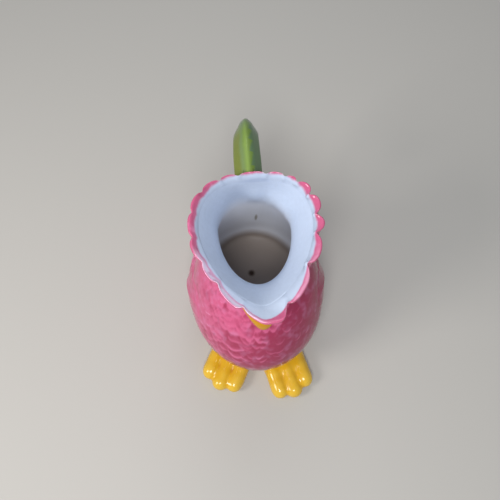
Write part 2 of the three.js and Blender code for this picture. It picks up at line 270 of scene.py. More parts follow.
def make_glaze_pool():
    group = bpy.data.node_groups.new("glaze_pool", "ShaderNodeTree")
    add_socket(group, "Height", "NodeSocketFloat", "INPUT", EVEN_GLAZE)
    for name in ("Pooled", "Full", "Thin"):
        add_socket(group, name, "NodeSocketColor", "INPUT")
    add_socket(group, "Color", "NodeSocketColor", "OUTPUT")
    add_socket(group, "Roughness", "NodeSocketFloat", "OUTPUT")
    given = group.nodes.new("NodeGroupInput").outputs
    result = group.nodes.new("NodeGroupOutput").inputs
    place = object_place(group)
    cloud = noise_on(group, place, CLOUD_SCALE)
    speck = noise_on(group, place, SPECK_SCALE)
    drift = math_node(group, "MULTIPLY_ADD", cloud, CLOUD_SHARE, -CLOUD_SHARE / 2)
    height = math_node(group, "ADD", given["Height"], drift)
    filling, thinning = (ramp_between(group, height, *step) for step in (POOLED_TO_FULL, FULL_TO_THIN))
    colour = mix_colours(group, filling, given["Pooled"], given["Full"])
    colour = mix_colours(group, thinning, colour, given["Thin"])
    shade = math_node(group, "MULTIPLY_ADD", speck, SPECK_SHARE, 1 - SPECK_SHARE / 2)
    tint = group.nodes.new("ShaderNodeCombineColor")
    for channel in tint.inputs:
        group.links.new(shade, channel)
    group.links.new(mix_colours(group, 1.0, colour, tint.outputs[0], "MULTIPLY"), result["Color"])
    rough = math_node(group, "MULTIPLY_ADD", cloud, ROUGH_SPREAD, ROUGH_LEAST)
    group.links.new(rough, result["Roughness"])
    return group


def make_glaze_ripple():
    group = bpy.data.node_groups.new("glaze_ripple", "ShaderNodeTree")
    add_socket(group, "Height", "NodeSocketFloat", "OUTPUT")
    result = group.nodes.new("NodeGroupOutput").inputs
    place = object_place(group)
    broad = noise_on(group, place, RIPPLE_BROAD, RIPPLE_DETAIL)
    fine = noise_on(group, place, RIPPLE_FINE, RIPPLE_DETAIL)
    height = math_node(group, "MULTIPLY_ADD", fine, RIPPLE_FINE_SHARE, broad)
    group.links.new(height, result["Height"])
    return group


glaze_pool = make_glaze_pool()
glaze_ripple = make_glaze_ripple()
print("node groups:", glaze_pool.name, glaze_ripple.name)


# %% [markdown]
# Each material starts the same way: a Principled shader with a clear coat for the glassy top, and the
# ripple as a bump. What differs is where its colour comes from, so that part is left to the caller.

# %% Materials start here
UNDER_COAT_SHINE, COAT_ROUGHNESS, BUMP_STRENGTH = 0.1, 0.05, 0.5


def new_glaze(name, bump=0.25, coat=0.45):
    """A glaze whose ripple is so many mm high, with so much clear coat."""
    material = bpy.data.materials.new(name)
    material.use_nodes = True
    tree = material.node_tree
    shader = tree.nodes["Principled BSDF"]
    shader.inputs["Specular IOR Level"].default_value = UNDER_COAT_SHINE
    shader.inputs["Coat Weight"].default_value = coat
    shader.inputs["Coat Roughness"].default_value = COAT_ROUGHNESS
    ripple = tree.nodes.new("ShaderNodeGroup")
    ripple.node_tree = glaze_ripple
    bumped = tree.nodes.new("ShaderNodeBump")
    bumped.inputs["Strength"].default_value = BUMP_STRENGTH
    bumped.inputs["Distance"].default_value = bump * MM
    tree.links.new(ripple.outputs["Height"], bumped.inputs["Height"])
    tree.links.new(bumped.outputs["Normal"], shader.inputs["Normal"])
    return material, tree, shader


def attribute_of(tree, name):
    node = tree.nodes.new("ShaderNodeAttribute")
    node.attribute_name = name
    return node.outputs["Fac"]


def pool_of(tree, height, pooled, full, thin):
    node = tree.nodes.new("ShaderNodeGroup")
    node.node_tree = glaze_pool
    tree.links.new(height, node.inputs["Height"])
    for name, value in (("Pooled", pooled), ("Full", full), ("Thin", thin)):
        node.inputs[name].default_value = srgb(*value)
    return node.outputs


def paint(obj, material):
    obj.data.materials.append(material)


PINK = dict(pooled=(160, 58, 88), full=(203, 95, 133), thin=(232, 152, 190))
YELLOW = dict(pooled=(192, 120, 10), full=(220, 169, 32), thin=(227, 184, 58))
# Painted shade: the beak's yellow is a darker, more orange copy of the feet's, for the spout's shade
# above it.
SHADED_BEAK_YELLOW = dict(pooled=(164, 94, 2), full=(200, 138, 10), thin=(208, 150, 26))
WHITE = dict(pooled=(180, 193, 217), full=(197, 209, 229), thin=(204, 215, 234))

# %% [markdown]
# ## Body
# The wall is one hollow casting. Subdivision rounds its facets, with creased edges at the base and at
# the seam so that they stay put. The outside is divided once more, because the feathers go there, and
# so is the throat, where the groove goes. Each feather is a short tongue that is thickest at its tip
# and laps over the row below, as tiles do. That lapping is easier to compute than to sculpt: every
# point asks the few feathers that could cover it how high they stand there, and takes the highest.

# %% Round the body's wall
SEAM_Z, LEVEL_WITHIN = 190, 0.1


def crease(obj, values):
    attribute = obj.data.attributes.new("crease_edge", "FLOAT", "EDGE")
    attribute.data.foreach_set("value", values.astype(np.float32))


body = copy_of("body_shell", "feathered_body")
ends = points_of(body)[edges_of(body), 2]
at_base, at_seam = (ends < LEVEL_WITHIN).all(axis=1), (ends > SEAM_Z - LEVEL_WITHIN).all(axis=1)
crease(body, (at_base | at_seam).astype(float))
finish_modifier(body, "SUBSURF", levels=2, render_levels=2)
print("rounded body:", len(body.data.polygons), "faces")

# %% [markdown]
# The body leans: the middle of its section shifts with height. With that middle known, a point's
# angle tells how far round the bird it is, and its side of the wall tells whether it is outside or
# inside.

# %% Sides of the wall
HEIGHTS = (0, 20, 60, 112, 155, 190)
MIDDLES = (-1, -11, -22.5, -18.5, -4, -19)
RADII = (54, 68, 74, 60, 40, 54)
FOOT_BAND = 7
THROAT_Z = 172
OUTER_FROM = 0.1
TINY = 1e-6


def away_from_middle(places):
    out = places[:, :2].copy()
    out[:, 1] -= np.interp(places[:, 2], HEIGHTS, MIDDLES)
    return out / np.maximum(np.linalg.norm(out, axis=1, keepdims=True), TINY)


def facing_out(obj):
    return (normals_of(obj)[:, :2] * away_from_middle(points_of(obj))).sum(axis=1)


def select_outer_faces(obj):
    faces = obj.data.polygons
    centres = values_of(faces, "center", 3) / MM
    out = (values_of(faces, "normal", 3)[:, :2] * away_from_middle(centres)).sum(axis=1)
    chosen = ((out > OUTER_FROM) & (centres[:, 2] > FOOT_BAND)) | (centres[:, 2] > THROAT_Z)
    faces.foreach_set("select", chosen)
    return int(chosen.sum())


bpy.ops.object.mode_set(mode="EDIT")
bpy.ops.mesh.select_all(action="DESELECT")
bpy.ops.object.mode_set(mode="OBJECT")
print("outer faces to divide:", select_outer_faces(body))
bpy.ops.object.mode_set(mode="EDIT")
bpy.ops.mesh.select_mode(type="FACE")
bpy.ops.mesh.subdivide(number_cuts=1, smoothness=0)
bpy.ops.object.mode_set(mode="OBJECT")

# %% [markdown]
# Feathers are counted round the bird and down from the seam. The same number of feathers goes round
# at every height, so they get smaller towards the neck, and the rows get closer by the same measure.
# Each feather leans, drops and fills out a little by chance.

# %% The shape of a feather
FEATHERS_ROUND, ROWS, ROW_STEP = 50, 64, 0.72
FEATHER_LONG, FEATHER_HALF = 1.5, 0.66
DROPS, LEANS, LEAST_FULL = 0.34, 0.28, 0.74
TIP_ROUND, TIP_POWER, TIP_SLOPE = 0.75, 2.2, 0.7
ROOT_LIFT, LIFT_POWER = 0.28, 1.4
SIDE_FALL, SIDE_POWER, SIDE_END = 0.38, 1.3, 1.2
BRIM_AT, BRIM_WIDE = 0.42, 0.2
LEVELS = 400
wobble = np.random.default_rng(7).uniform(-1, 1, (ROWS, FEATHERS_ROUND, 3))


def rows_down(z):
    levels = np.linspace(SEAM_Z, 0, LEVELS)
    radius = np.interp(levels, HEIGHTS, RADII)
    slant = np.sqrt(1 + np.gradient(radius, levels) ** 2)
    step = slant * (levels[0] - levels[1]) / (ROW_STEP * 2 * math.pi * radius / FEATHERS_ROUND)
    return np.interp(-z, -levels, np.cumsum(step))


def feather_height(turn, row):
    """The height of the topmost feather, and how near its rounded tip's edge a point is."""
    highest, brim = np.zeros_like(turn), np.zeros_like(turn)
    for back in (0, 1, 2):
        line = np.floor(row).astype(int) - back
        shift = 0.5 * (line % 2)
        for side in (0, 1):
            index = np.floor(turn - shift).astype(int) + side
            lean, drop, full = wobble[line % ROWS, index % FEATHERS_ROUND].T
            down = row - line - DROPS * drop
            across = (turn - shift - index - LEANS * lean) / FEATHER_HALF
            left = FEATHER_LONG - TIP_ROUND * np.abs(across) ** TIP_POWER - down
            lift = ROOT_LIFT + (1 - ROOT_LIFT) * np.clip(down / FEATHER_LONG, 0, 1) ** LIFT_POWER
            quill = 1 - SIDE_FALL * np.minimum(np.abs(across), SIDE_END) ** SIDE_POWER
            fullness = LEAST_FULL + (1 - LEAST_FULL) * full
            height = smoothstep(0, TIP_SLOPE, left) * lift * quill * fullness * (down > 0)
            above = height > highest
            at_brim = np.exp(-((left - BRIM_AT) / BRIM_WIDE) ** 2) * (1 + full) / 2
            brim = np.where(above, at_brim, brim)
            highest = np.where(above, height, highest)
    return highest, brim


print("rows of feathers from the seam to the base:", round(float(rows_down(0.0))))

# %% [markdown]
# Inside, at the back, the wall bulges a little where the potter's thumb pressed the handle on, and a
# shallow groove, wiped with a wet finger, runs along the seam below the lip. The mould's halves met
# at the flanks, where sponging the cast seam away took some of the relief with it. Glaze blunts what
# is left, so each height is mixed with its neighbours'. The glaze is painted darker towards the bird's
# left and low on the front, as painted shade. Along the groove it is darker too, partly from glaze
# pooled there and partly as painted shade, most of all at the back.

# %% What the hands and the glaze did
RELIEF, UPPER_SHARE, RELIEF_HEIGHTS, BLUNTED = 0.5, 0.5, (118, 80), 0.6
TURN_SWAY, ROW_SWAY = (0.4, 34, 1), (0.5, 28, 2)
SIDE_SHADE, SIDE_SHADE_ASIDE, SIDE_SHADE_LOWER, BREAST_Z = 0.54, 0.8 / 67, 0.5 / 52, 112
SIDE_SHADE_FROM_TO, SIDE_SHADE_FRONT = (-0.62, 0.63), (30, -20)
SPONGED, FLANK = 0.35, (0.78, 0.97)
GROOVE, GROOVE_WIDE = 0.3, 2.3
NAPE_X, NAPE_WIDE, NAPE, NAPE_SHADE_DARKER = 2, 13, (10, 25), 4


# Painted shade: the glaze is darker towards the bird's left and low on the front, where less light
# falls.
def painted_side_shade(places):
    slope = SIDE_SHADE_ASIDE * places[:, 0] + SIDE_SHADE_LOWER * (BREAST_Z - places[:, 2])
    return SIDE_SHADE * smoothstep(*SIDE_SHADE_FROM_TO, slope) * smoothstep(*SIDE_SHADE_FRONT, places[:, 1])


def groove_at(places):
    return np.exp(-((places[:, 2] - SEAM_Z) / GROOVE_WIDE) ** 2)


# Darker glaze along the groove: partly glaze pooled in it and partly painted shade, strongest at the
# back under the lip.
def groove_shade(places):
    behind = np.exp(-((places[:, 0] - NAPE_X) / NAPE_WIDE) ** 2) * smoothstep(*NAPE, places[:, 1])
    return (1 + NAPE_SHADE_DARKER * behind) * groove_at(places)


def left_by_sponge(places):
    return 1 - SPONGED * smoothstep(*FLANK, np.abs(away_from_middle(places)[:, 0]))


def press_of(places):
    lower = smoothstep(*RELIEF_HEIGHTS, places[:, 2])
    return RELIEF * (UPPER_SHARE + (1 - UPPER_SHARE) * lower) * left_by_sponge(places)


def feathers_at(obj, places):
    out = away_from_middle(places)
    turn = np.arctan2(out[:, 0], -out[:, 1]) / (2 * math.pi) * FEATHERS_ROUND
    (turn_share, *turn_wave), (row_share, *row_wave) = TURN_SWAY, ROW_SWAY
    turn = turn + turn_share * sway(places, *turn_wave)
    row = rows_down(places[:, 2]) + row_share * sway(places, *row_wave)
    crisp = np.stack(feather_height(turn % FEATHERS_ROUND, row), axis=1)
    return (crisp + BLUNTED * (averaged(obj, crisp, 1) - crisp)).T


# %% [markdown]
# Now each point of the wall moves along its normal, by its feather outside and by the thumb's bulge
# inside. The groove moves points level with the ground instead, so that the seam stays closed. What
# the glaze needs is kept as attributes: its height, which side of the wall it is on, and the bare
# base.

# %% Press the feathers in
THUMBED = ((3.0, 160, 8, 14, 2.6), (22.0, 157, 9, 13, 1.8), (-15.0, 160, 9, 14, -1.0))
THUMBED_BACK = (5, 20)
OUTSIDE, INSIDE = (0.0, 0.3), (0.0, -0.4)
LINED_BELOW, SEAM_LINED_BELOW, SEAM_BAND = 0.05, 0.6, 0.6
PLAIN_FOOT, PLAIN_SEAM = (2, 10), (SEAM_Z - 1, SEAM_Z - 8)
MEAN_FEATHER = 0.45
FEATHER_MARK, BRIGHT_TIP, GROOVE_POOL_AND_SHADE = 0.6, 0.55, 0.1
BASE_FACES, BASE_Z = -0.9, 1

places = points_of(body)
outer, inner = (smoothstep(*side, facing_out(body)) for side in (OUTSIDE, INSIDE))
fade = smoothstep(*PLAIN_FOOT, places[:, 2]) * smoothstep(*PLAIN_SEAM, places[:, 2]) * outer
feathers, brim = feathers_at(body, places)
press = fade * press_of(places) * (feathers - MEAN_FEATHER)
dent = np.zeros(len(places))
for x, z, wide, tall, depth in THUMBED:
    dent += depth * np.exp(-((places[:, 0] - x) / wide) ** 2 - ((places[:, 2] - z) / tall) ** 2)
dent *= inner * smoothstep(*THUMBED_BACK, places[:, 1])
moved = places + normals_of(body) * (press + dent)[:, None]
moved[:, :2] += away_from_middle(places) * (GROOVE * inner * groove_at(places))[:, None]
move_points(body, moved)
marks = left_by_sponge(places) * (FEATHER_MARK * (feathers - EVEN_GLAZE) + BRIGHT_TIP * brim)
# The glaze along the groove is lowered, which darkens it: pooled glaze and painted shade.
groove_pool_and_shade = GROOVE_POOL_AND_SHADE * inner * groove_shade(places)
# The pink is lowered towards the bird's left and low on the front, which is painted shade.
keep(body, "relief", EVEN_GLAZE + fade * (marks - painted_side_shade(places)) - groove_pool_and_shade)
below = (normals_of(body)[:, 2] < BASE_FACES) & (places[:, 2] < BASE_Z)
on_seam = (places[:, 2] > SEAM_Z - SEAM_BAND) & (facing_out(body) < SEAM_LINED_BELOW)
keep(body, "lining", ((facing_out(body) < LINED_BELOW) | on_seam) & ~below)
keep(body, "bare_base", below)
smooth_faces(body)
print("feathered body:", len(body.data.polygons), "faces")

# %% [markdown]
# Pink glaze covers the outside and a white one the inside. Soft pale patches on the pink are a
# painted highlight, the sheen of the glaze. Low on the belly, where it gathered, it is glossier. Below
# the throat the white is painted brighter, as painted light on the deep wall, and the floor is painted
# grey-brown, as painted shade. Two small flaws of the casting show there too: a pinhole in the floor
# and a mark on the back wall. The base is wiped bare so that it doesn't stick to the kiln shelf.

# %% Body glaze
LIGHTENED_BELOW_THROAT, FLOOR_SHADE_EDGE, BELLY_LOW = (0.168, 0.130), (0.030, 0.011), (0.080, 0.050)
PAINTED_LIGHT_DEEP_WHITE, FLOOR_SHADE_GREY, BARE_CLAY = srgb(247, 248, 255), srgb(158, 145, 136), srgb(226, 214, 198)
PINHOLE, PINHOLE_BROWN = ((-1.5, 12.7, 7.0), 1.2, 5.4), srgb(58, 36, 22)
WALL_MARK, MARK_GREY = ((6.0, 47.5, 80.0), 0.5, 2.1, (1.0, 0.1, 0.1)), srgb(178, 172, 166)
SHEEN_SCALE, SHEEN_DETAIL, SHEEN_EDGE, SHEEN_SHARE = 130.0, 1.0, (0.45, 0.80), 0.22
SHEEN_PINK = srgb(218, 152, 196)
LINING_ROUGHER, LINING_DRIER, COAT_HIGH, COAT_LOW_MORE = 0.35, 0.7, 0.2, 0.5


def vector_node(tree, operation, vector, by=(0, 0, 0)):
    node = tree.nodes.new("ShaderNodeVectorMath")
    node.operation = operation
    tree.links.new(vector, node.inputs[0])
    node.inputs[1].default_value = by
    return node.outputs


def spot_near(tree, place, centre, inner, outer, squeeze=(1.0, 1.0, 1.0)):
    away = vector_node(tree, "SUBTRACT", place, [v * MM for v in centre])["Vector"]
    squeezed = vector_node(tree, "MULTIPLY", away, squeeze)["Vector"]
    reach = vector_node(tree, "LENGTH", squeezed)["Value"]
    return ramp_between(tree, reach, outer * MM, inner * MM)


body_glaze, tree, shader = new_glaze("pink_feather_glaze")
place = object_place(tree)
parts = tree.nodes.new("ShaderNodeSeparateXYZ")
tree.links.new(place, parts.inputs[0])
up = parts.outputs["Z"]
pink = pool_of(tree, attribute_of(tree, "relief"), **PINK)
white = pool_of(tree, attribute_of(tree, "relief"), **WHITE)
# Painted light: the white below the throat is painted brighter, standing in for light on the deep wall.
inside = mix_colours(tree, ramp_between(tree, up, *LIGHTENED_BELOW_THROAT), white["Color"], PAINTED_LIGHT_DEEP_WHITE)
# Painted shade: the floor inside the jug is painted grey-brown.
inside = mix_colours(tree, ramp_between(tree, up, *FLOOR_SHADE_EDGE), inside, FLOOR_SHADE_GREY)
inside = mix_colours(tree, spot_near(tree, place, *PINHOLE), inside, PINHOLE_BROWN)
inside = mix_colours(tree, spot_near(tree, place, *WALL_MARK), inside, MARK_GREY)
# Painted highlight: soft pale patches on the pink stand in for the sheen of the glaze.
sheen_patches = ramp_between(tree, noise_on(tree, place, SHEEN_SCALE, SHEEN_DETAIL), *SHEEN_EDGE)
sheen_patches = math_node(tree, "MULTIPLY", sheen_patches, SHEEN_SHARE)
outside = mix_colours(tree, sheen_patches, pink["Color"], SHEEN_PINK)
lining = attribute_of(tree, "lining")
colour = mix_colours(tree, lining, outside, inside)
colour = mix_colours(tree, attribute_of(tree, "bare_base"), colour, BARE_CLAY)
tree.links.new(colour, shader.inputs["Base Color"])
dull = math_node(tree, "MULTIPLY_ADD", lining, LINING_ROUGHER, pink["Roughness"])
tree.links.new(dull, shader.inputs["Roughness"])
glossy = math_node(tree, "MULTIPLY_ADD", ramp_between(tree, up, *BELLY_LOW), COAT_LOW_MORE, COAT_HIGH)
coated = math_node(tree, "MULTIPLY_ADD", lining, -LINING_DRIER, 1.0)
tree.links.new(math_node(tree, "MULTIPLY", glossy, coated), shader.inputs["Coat Weight"])
paint(body, body_glaze)
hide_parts("body_shell")
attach(body, "root")
print(body_glaze.name, len(tree.nodes), "nodes")

# %% [markdown]
# ## Lip
# The lip is a ring stuck on top of the body, cut into scallops with a wet finger, so nothing on it is
# sharp. Subdivision gives that roundness. The ring is let down onto the body by the CAD model's small
# clearance, as glaze closes such a joint, with a crease to keep it flush, and shares the body's
# groove. Outside it laps over the body by a hair. Thumbs have drawn it out beside the spout: along
# the bird's right, and more just left of the spout's tip, which makes the spout round.

# %% Round the lip
JOINT, JOINT_BAND = 0.3, 0.5
SKIRT_OUT, SKIRT_DOWN, SKIRT_FACES = 0.12, 0.3, 0.2
LIP_INSIDE, RIM = (0.0, -0.3), (SEAM_Z + 1, SEAM_Z + 6)
SWELL, SWOLLEN = 1.6, dict(x=(-6, -22), y=(-8, -24))
THUMB, THUMB_WAY = 4.4, (0.9, -0.44)
THUMB_FROM, THUMB_TO, THUMB_FRONT = -1.0, 18.5, (-58, -72)
lip = copy_of("scalloped_lip", "scalloped_edge")
places = points_of(lip)
low = places[:, 2] < SEAM_Z + JOINT_BAND
places[low, 2] -= JOINT
skirt = low & (facing_out(lip) > SKIRT_FACES)
places[skirt, :2] += away_from_middle(places)[skirt] * SKIRT_OUT
places[skirt, 2] -= SKIRT_DOWN
move_points(lip, places)
crease(lip, low[edges_of(lip)].all(axis=1).astype(float))
finish_modifier(lip, "SUBSURF", levels=2, render_levels=2)
inner = smoothstep(*LIP_INSIDE, facing_out(lip))
places = points_of(lip)
rim = smoothstep(*RIM, places[:, 2])
drawn = np.clip((places[:, 0] - THUMB_FROM) / (THUMB_TO - THUMB_FROM), 0, 1)
thumb = THUMB * np.sin(math.pi * drawn) ** 2 * smoothstep(*THUMB_FRONT, places[:, 1]) * rim
outwards = GROOVE * inner * groove_at(places) + SWELL * zone(places, **SWOLLEN) * rim
places[:, :2] += away_from_middle(places) * outwards[:, None]
places[:, :2] += np.outer(thumb, THUMB_WAY)
print("rounded lip:", len(lip.data.polygons), "faces, drawn out by", round(float(thumb.max()), 1), "mm")

# %% [markdown]
# The mouth is an egg with its point at the spout, and each point has a share of the way out to that
# egg. The greatest share at each degree is the cut edge, and a line that touches the scallops lies
# round it. Between the two is the depth of the cut. A wet finger made the notches deeper than the
# mould left them, most of all along the bird's left.

# %% How far inside the edge
RIM_SIDE, RIM_FRONT, RIM_BACK, RIM_MIDDLE = 54.8, 89.0, 38.5, -8.0
SPOUT_ROUNDNESS, NAPE_ROUNDNESS = 1.6, 2.5
NOTCH_DEEPER, NOTCH_REACH, NOTCH_FULL = 1.3, 11.0, 2
FINGERED = dict(x=(-10, 30), y=(-70, -50))
TOUCHING, EVENED = 12, 10
DEGREES = np.arange(360)


def around(values, span):
    return values[(DEGREES[:, None] + np.arange(-span, span + 1)) % 360]


def rim_of(places):
    """How far a point is inside the touching line, how deep the cut is there and how far back it is."""
    aside, ahead = np.abs(places[:, 0]), RIM_MIDDLE - places[:, 1]
    power = np.where(ahead > 0, SPOUT_ROUNDNESS, NAPE_ROUNDNESS)
    depth = np.where(ahead > 0, RIM_FRONT + RIM_MIDDLE, RIM_BACK - RIM_MIDDLE)
    share = ((aside / RIM_SIDE) ** power + (np.abs(ahead) / depth) ** power) ** (1 / power)
    angle = np.degrees(np.arctan2(places[:, 0], ahead)) % 360
    edge = np.zeros(360)
    np.maximum.at(edge, angle.astype(int) % 360, share)
    touching = around(around(edge, TOUCHING).max(axis=1), EVENED).mean(axis=1)
    edge, touching = (np.interp(angle, DEGREES + 0.5, line, period=360) for line in (edge, touching))
    reach = np.hypot(aside, ahead)
    return (touching - share) * reach, np.maximum(touching - edge, 0) * reach, -ahead / depth


inset, cut, _ = rim_of(places)
deeper = NOTCH_DEEPER * zone(places, **FINGERED)
inwards = deeper * cut * rim * smoothstep(NOTCH_REACH, NOTCH_FULL, inset - cut)
out = places[:, :2] - (0, RIM_MIDDLE)
places[:, :2] -= out * (inwards / np.linalg.norm(out, axis=1))[:, None]
move_points(lip, places)
smooth_faces(lip)
print("lip:", len(lip.data.polygons), "faces, deepest cut", round(float(cut.max()), 1), "mm")

# %% [markdown]
# Pink is brushed round the edge. The brush follows the notches only a little, so a scallop shows a
# crescent of pink and a notch a thread. The line runs nearer the edge at the back.

# %% Where the pink ends
FOLLOWED = 0.38
PINK_WIDE = ((-1.0, 5.2), (-0.7, 4.8), (-0.35, 5.0), (0, 5.3), (0.5, 4.8), (0.8, 3.2), (1.0, 2.5))
RIGHT_FRONT, LEFT_FRONT = dict(x=(2, -14), y=(-20, -42)), dict(x=(12, 26), y=(-25, -45))
PINK_WIDER, SPOUT_WIDER, THIN_AND_LIT_LEFT = 0.8, 1.3, 0.2
FACES_DOWN, NOT_INSIDE, OUTER_SIDE, UNDER_PINK = (-0.25, -0.5), (-0.3, 0.0), (0.35, 0.7), 3

inset, cut, towards_back = rim_of(places)
brushed = np.interp(towards_back, *zip(*PINK_WIDE)) + FOLLOWED * cut
right_front, left_front = zone(places, **RIGHT_FRONT), zone(places, **LEFT_FRONT)
brushed = brushed + PINK_WIDER * right_front + SPOUT_WIDER * thumb / THUMB
outward = facing_out(lip)
overhung = smoothstep(*FACES_DOWN, normals_of(lip)[:, 2]) * smoothstep(*NOT_INSIDE, outward)
under = np.maximum(smoothstep(*OUTER_SIDE, outward), overhung)
brushed = np.maximum(brushed - inset, UNDER_PINK * (2 * under - 1))
keep(lip, "brushed", brushed)
# This zone is where the pink is thinner beside the spout, and it also sets the painted light and
# painted highlight there.
keep(lip, "thin", np.maximum(right_front, THIN_AND_LIT_LEFT * left_front) * (1 - under))
keep(lip, "groove", inner * groove_shade(places))
print("points of the lip in pink:", int((brushed > 0).sum()), "of", len(places))

# %% [markdown]
# The brush wavers, so a little noise moves the line. Beside the spout, most of all at the bird's right,
# the pink went on thinner. There the pink is also painted paler and the white beside it whiter, as
# painted light, and a broken white painted highlight runs along the middle of the stroke.

# %% Lip glaze
LIP_COAT = 0.8
WAVER, WAVER_SCALE = 1.2, 130.0
LINE_EDGE, HIGHLIGHT_IN, HIGHLIGHT_OUT = (-0.7, 0.7), (0.5, 1.9), (4.6, 3.0)
BROKEN, BROKEN_SCALE = (0.24, 0.48), 150.0
LIP_CLOUD, LIP_CLOUD_SCALE, MOTTLE, MOTTLE_SCALE = 0.5, 60.0, 0.9, 110.0
THIN_RAISED, PAINTED_LIGHT_SHARE = 0.3, 0.6
PAINTED_LIGHT_PINK, PAINTED_HIGHLIGHT_WHITE, PAINTED_LIGHT_LIP_WHITE = srgb(248, 190, 226), srgb(250, 226, 246), srgb(216, 228, 250)

lip_glaze, tree, shader = new_glaze("pink_edge_glaze", coat=LIP_COAT)
place = object_place(tree)
thin = attribute_of(tree, "thin")
waver = noise_about(tree, place, 0.0, WAVER, WAVER_SCALE)
line = math_node(tree, "ADD", attribute_of(tree, "brushed"), waver)
covered = ramp_between(tree, line, *LINE_EDGE)
rising, falling = ramp_between(tree, line, *HIGHLIGHT_IN), ramp_between(tree, line, *HIGHLIGHT_OUT)
painted_highlight = math_node(tree, "MULTIPLY", math_node(tree, "MULTIPLY", rising, falling), thin)
broken = ramp_between(tree, noise_on(tree, place, BROKEN_SCALE), *BROKEN)
cloud = noise_about(tree, place, EVEN_GLAZE, LIP_CLOUD, LIP_CLOUD_SCALE)
mottle = noise_about(tree, place, 0.0, MOTTLE, MOTTLE_SCALE)
thickness = math_node(tree, "MULTIPLY_ADD", thin, THIN_RAISED, math_node(tree, "ADD", cloud, mottle))
pink = pool_of(tree, thickness, **PINK)
# Painted light: the pink beside the spout is painted paler, and a broken white streak along the stroke
# is a painted highlight.
pink_with_painted_light = mix_colours(tree, math_node(tree, "MULTIPLY", thin, PAINTED_LIGHT_SHARE), pink["Color"], PAINTED_LIGHT_PINK)
edge = mix_colours(tree, math_node(tree, "MULTIPLY", painted_highlight, broken), pink_with_painted_light, PAINTED_HIGHLIGHT_WHITE)
# The white is darker along the groove: partly pooled glaze and partly painted shade, strongest at the
# back.
groove_pool_and_shade = math_node(tree, "MULTIPLY_ADD", attribute_of(tree, "groove"), -GROOVE_POOL_AND_SHADE, cloud)
white = pool_of(tree, groove_pool_and_shade, **WHITE)
# Painted light: the white beside the spout is painted whiter.
white_with_painted_light = mix_colours(tree, thin, white["Color"], PAINTED_LIGHT_LIP_WHITE)
tree.links.new(mix_colours(tree, covered, white_with_painted_light, edge), shader.inputs["Base Color"])
tree.links.new(pink["Roughness"], shader.inputs["Roughness"])
paint(lip, lip_glaze)
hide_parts("scalloped_lip")
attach(lip, "root")
print(lip_glaze.name, len(tree.nodes), "nodes")

# %% [markdown]
# ## Beak, feet and eyes
# These were pressed by hand, so their edges are soft. A voxel remesh turns a merged copy into even
# small faces, and a smoothing modifier then rounds it all over, which a bevel couldn't do on such a
# blend.

# %% Soften the pressed pieces
SMOOTHING = 0.5


def soften(obj, voxel, rounds):
    finish_modifier(obj, "REMESH", mode="VOXEL", voxel_size=voxel * MM)
    finish_modifier(obj, "SMOOTH", factor=SMOOTHING, iterations=rounds)
    select_only(obj)
    bpy.ops.object.shade_smooth()


def softened(node, name, voxel, rounds):
    obj = copy_of(node, name)
    finish_modifier(obj, "SUBSURF", levels=1, render_levels=1)
    soften(obj, voxel, rounds)
    return obj


# %% [markdown]
# The CAD model leaves a hair of clearance between a piece and the body. On the jug that joint is full
# of slip and glaze. So whatever lies close to the body's wall is pressed a little into it. A search
# tree finds the nearest place on the wall for each point. A thin piece can have just its back pressed
# in, which gives it something to be remeshed from. Far from the wall, where the nearest place may be
# on its other side, the plain distance counts.

# %% Bed a piece into the wall
FAR, TOUCHED, BACK_FACES = 6.0, 0.2, 0.3
wall = BVHTree.FromObject(body, bpy.context.evaluated_depsgraph_get())


def clear_of_wall(obj):
    found = [wall.find_nearest(v.co) for v in obj.data.vertices]
    facing = np.array([normal for _, normal, _, _ in found])
    away = points_of(obj) - np.array([spot for spot, _, _, _ in found]) / MM
    distance = np.linalg.norm(away, axis=1)
    return np.where(distance > FAR, distance, (away * facing).sum(axis=1)), facing


def bed(obj, close, depth, only_back=False):
    gap, facing = clear_of_wall(obj)
    push = depth * smoothstep(close, TOUCHED, gap)
    if only_back:
        push = push * ((normals_of(obj) * facing).sum(axis=1) < BACK_FACES)
    places = points_of(obj) - facing * push[:, None]
    places[:, 2] = np.maximum(places[:, 2], 0)
    move_points(obj, places)


# %% [markdown]
# The toes are fat little rolls with a shallow groove between them, so the grooves of the remeshed
# solid are filled by part of their depth. Faint knuckles go across each foot, which needs only a wave
# along the line from heel to toes.

# %% Feet and beak
HEELS = {"left_foot": ((17.2, -60.2), 14.0), "right_foot": ((-16.8, -51.4), -28.0)}
PRESSED_VOXEL, BEAK_ROUNDS, FOOT_ROUNDS = 0.8, 12, 24
KNUCKLE, KNUCKLE_HIGH, KNUCKLE_FROM = 12.5, 0.14, (3, 9)
FULLER, FULLER_FROM = 0.42, (0.2, 1.5)
FILLED, INSTEP_FILLED, INSTEP = 0.68, 0.35, (50, 36)
FILL_ROUNDS, FILL_MOST, FILL_EVENED = 40, 2, 14
YELLOW_RIPPLE, YELLOW_COAT_ROUGHNESS, FOOT_COAT, BEAK_COAT = 0.04, 0.17, 0.85, 0.1
PRESSED_RELIEF = dict(rounds=60, middle=0.54, strength=0.4, low=-0.9, high=1.0)
PRESSED_BED = dict(close=2.5, depth=0.9)


def along_foot(places, heel, turn):
    way = np.array([math.sin(math.radians(turn)), -math.cos(math.radians(turn))])
    return (places[:, :2] - np.array(heel)) @ way


def fill_grooves(obj, heel, turn):
    instep = smoothstep(*INSTEP, along_foot(points_of(obj), heel, turn))
    lift = (FILLED + INSTEP_FILLED * instep) * np.clip(-standing_out(obj, FILL_ROUNDS), 0, FILL_MOST)
    move_points(obj, points_of(obj) + normals_of(obj) * lift[:, None])
    finish_modifier(obj, "SMOOTH", factor=SMOOTHING, iterations=FILL_EVENED)


